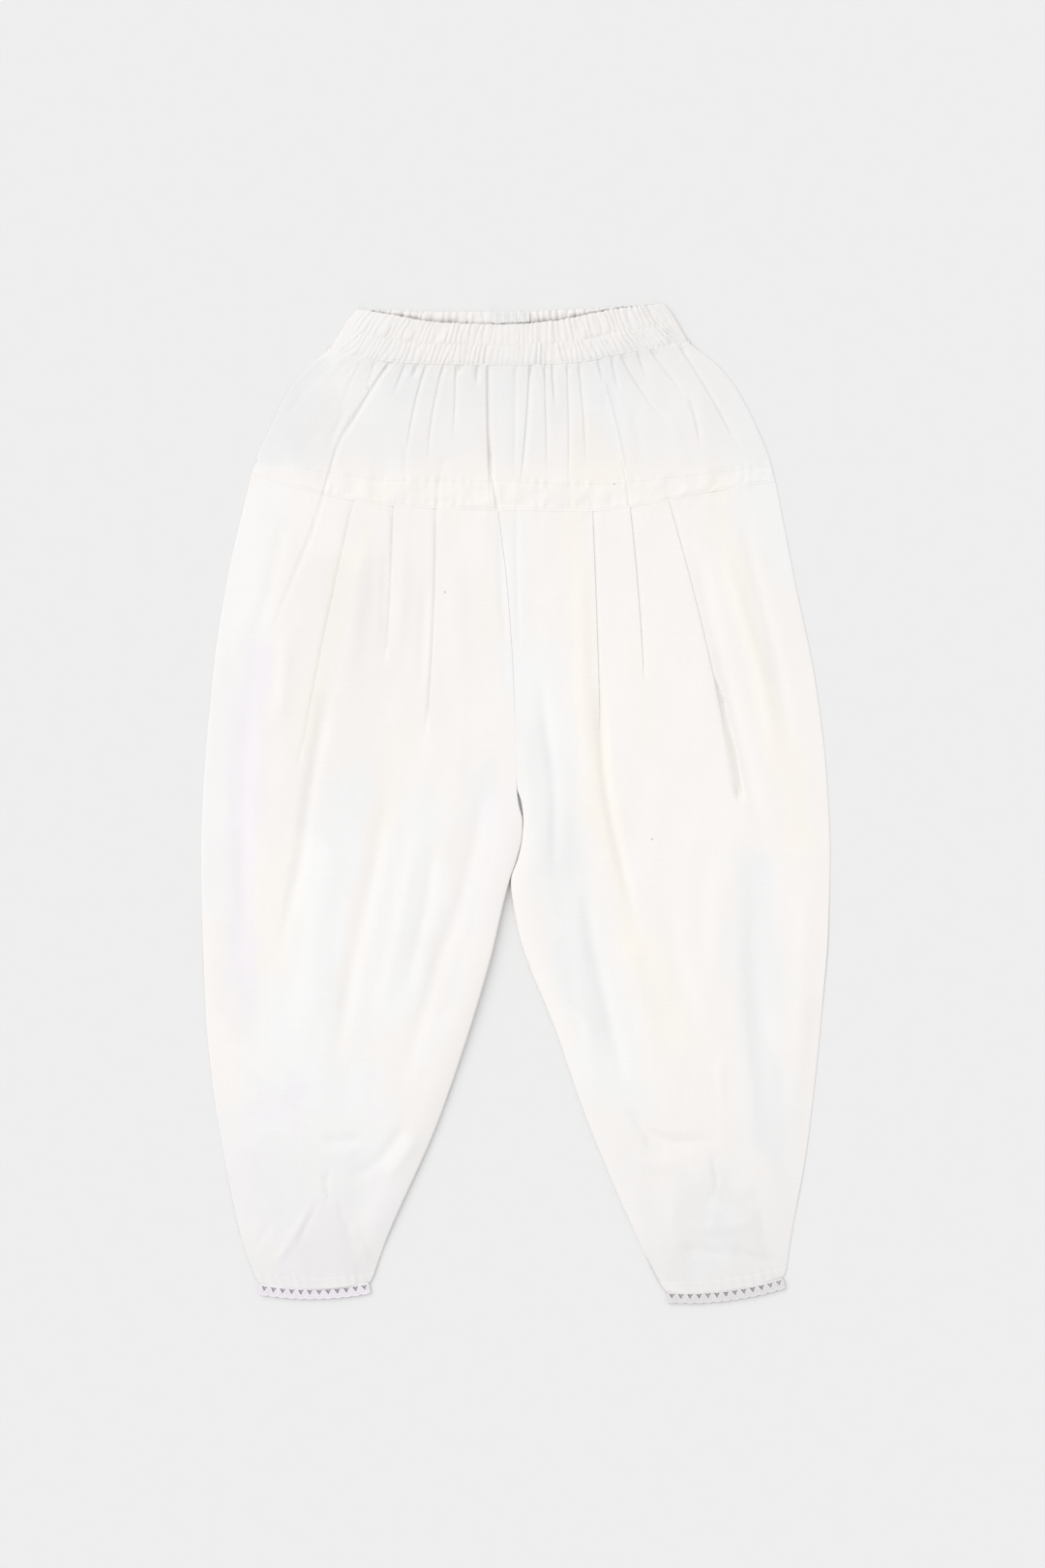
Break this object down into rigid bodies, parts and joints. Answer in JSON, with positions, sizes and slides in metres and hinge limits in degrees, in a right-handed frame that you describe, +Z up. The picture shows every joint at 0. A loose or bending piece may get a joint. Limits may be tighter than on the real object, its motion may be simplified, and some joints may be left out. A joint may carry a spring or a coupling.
{
  "type": "tulip shalwar",
  "caption": "Girl's tulip shalwar laid flat: gathered elastic waist, yoke over released pleats, full legs that narrow to darted hems with lace edging.",
  "frame": {"origin": "on the surface the garment lies on, under the middle of its bounding box", "axes": "+X to the right as the front is seen from above, +Y up the garment to the waist, +Z up from the surface, out of the front"},
  "size_m": [0.4688, 0.7456, 0.0088],
  "materials": {
    "cotton": "matt plain-weave off-white cotton",
    "lace": "matt white cotton lace",
    "label_tape": "smooth white woven tape, blank"
  },
  "bodies": {
    "root": {"waistband": "cotton", "yoke_front": "cotton", "yoke_back": "cotton", "leg_front_left": "cotton", "leg_back_left": "cotton", "leg_front_right": "cotton", "leg_back_right": "cotton", "lace_front_left": "lace", "lace_back_left": "lace", "lace_front_right": "lace", "lace_back_right": "lace", "back_label": "label_tape"}
  },
  "joints": []
}
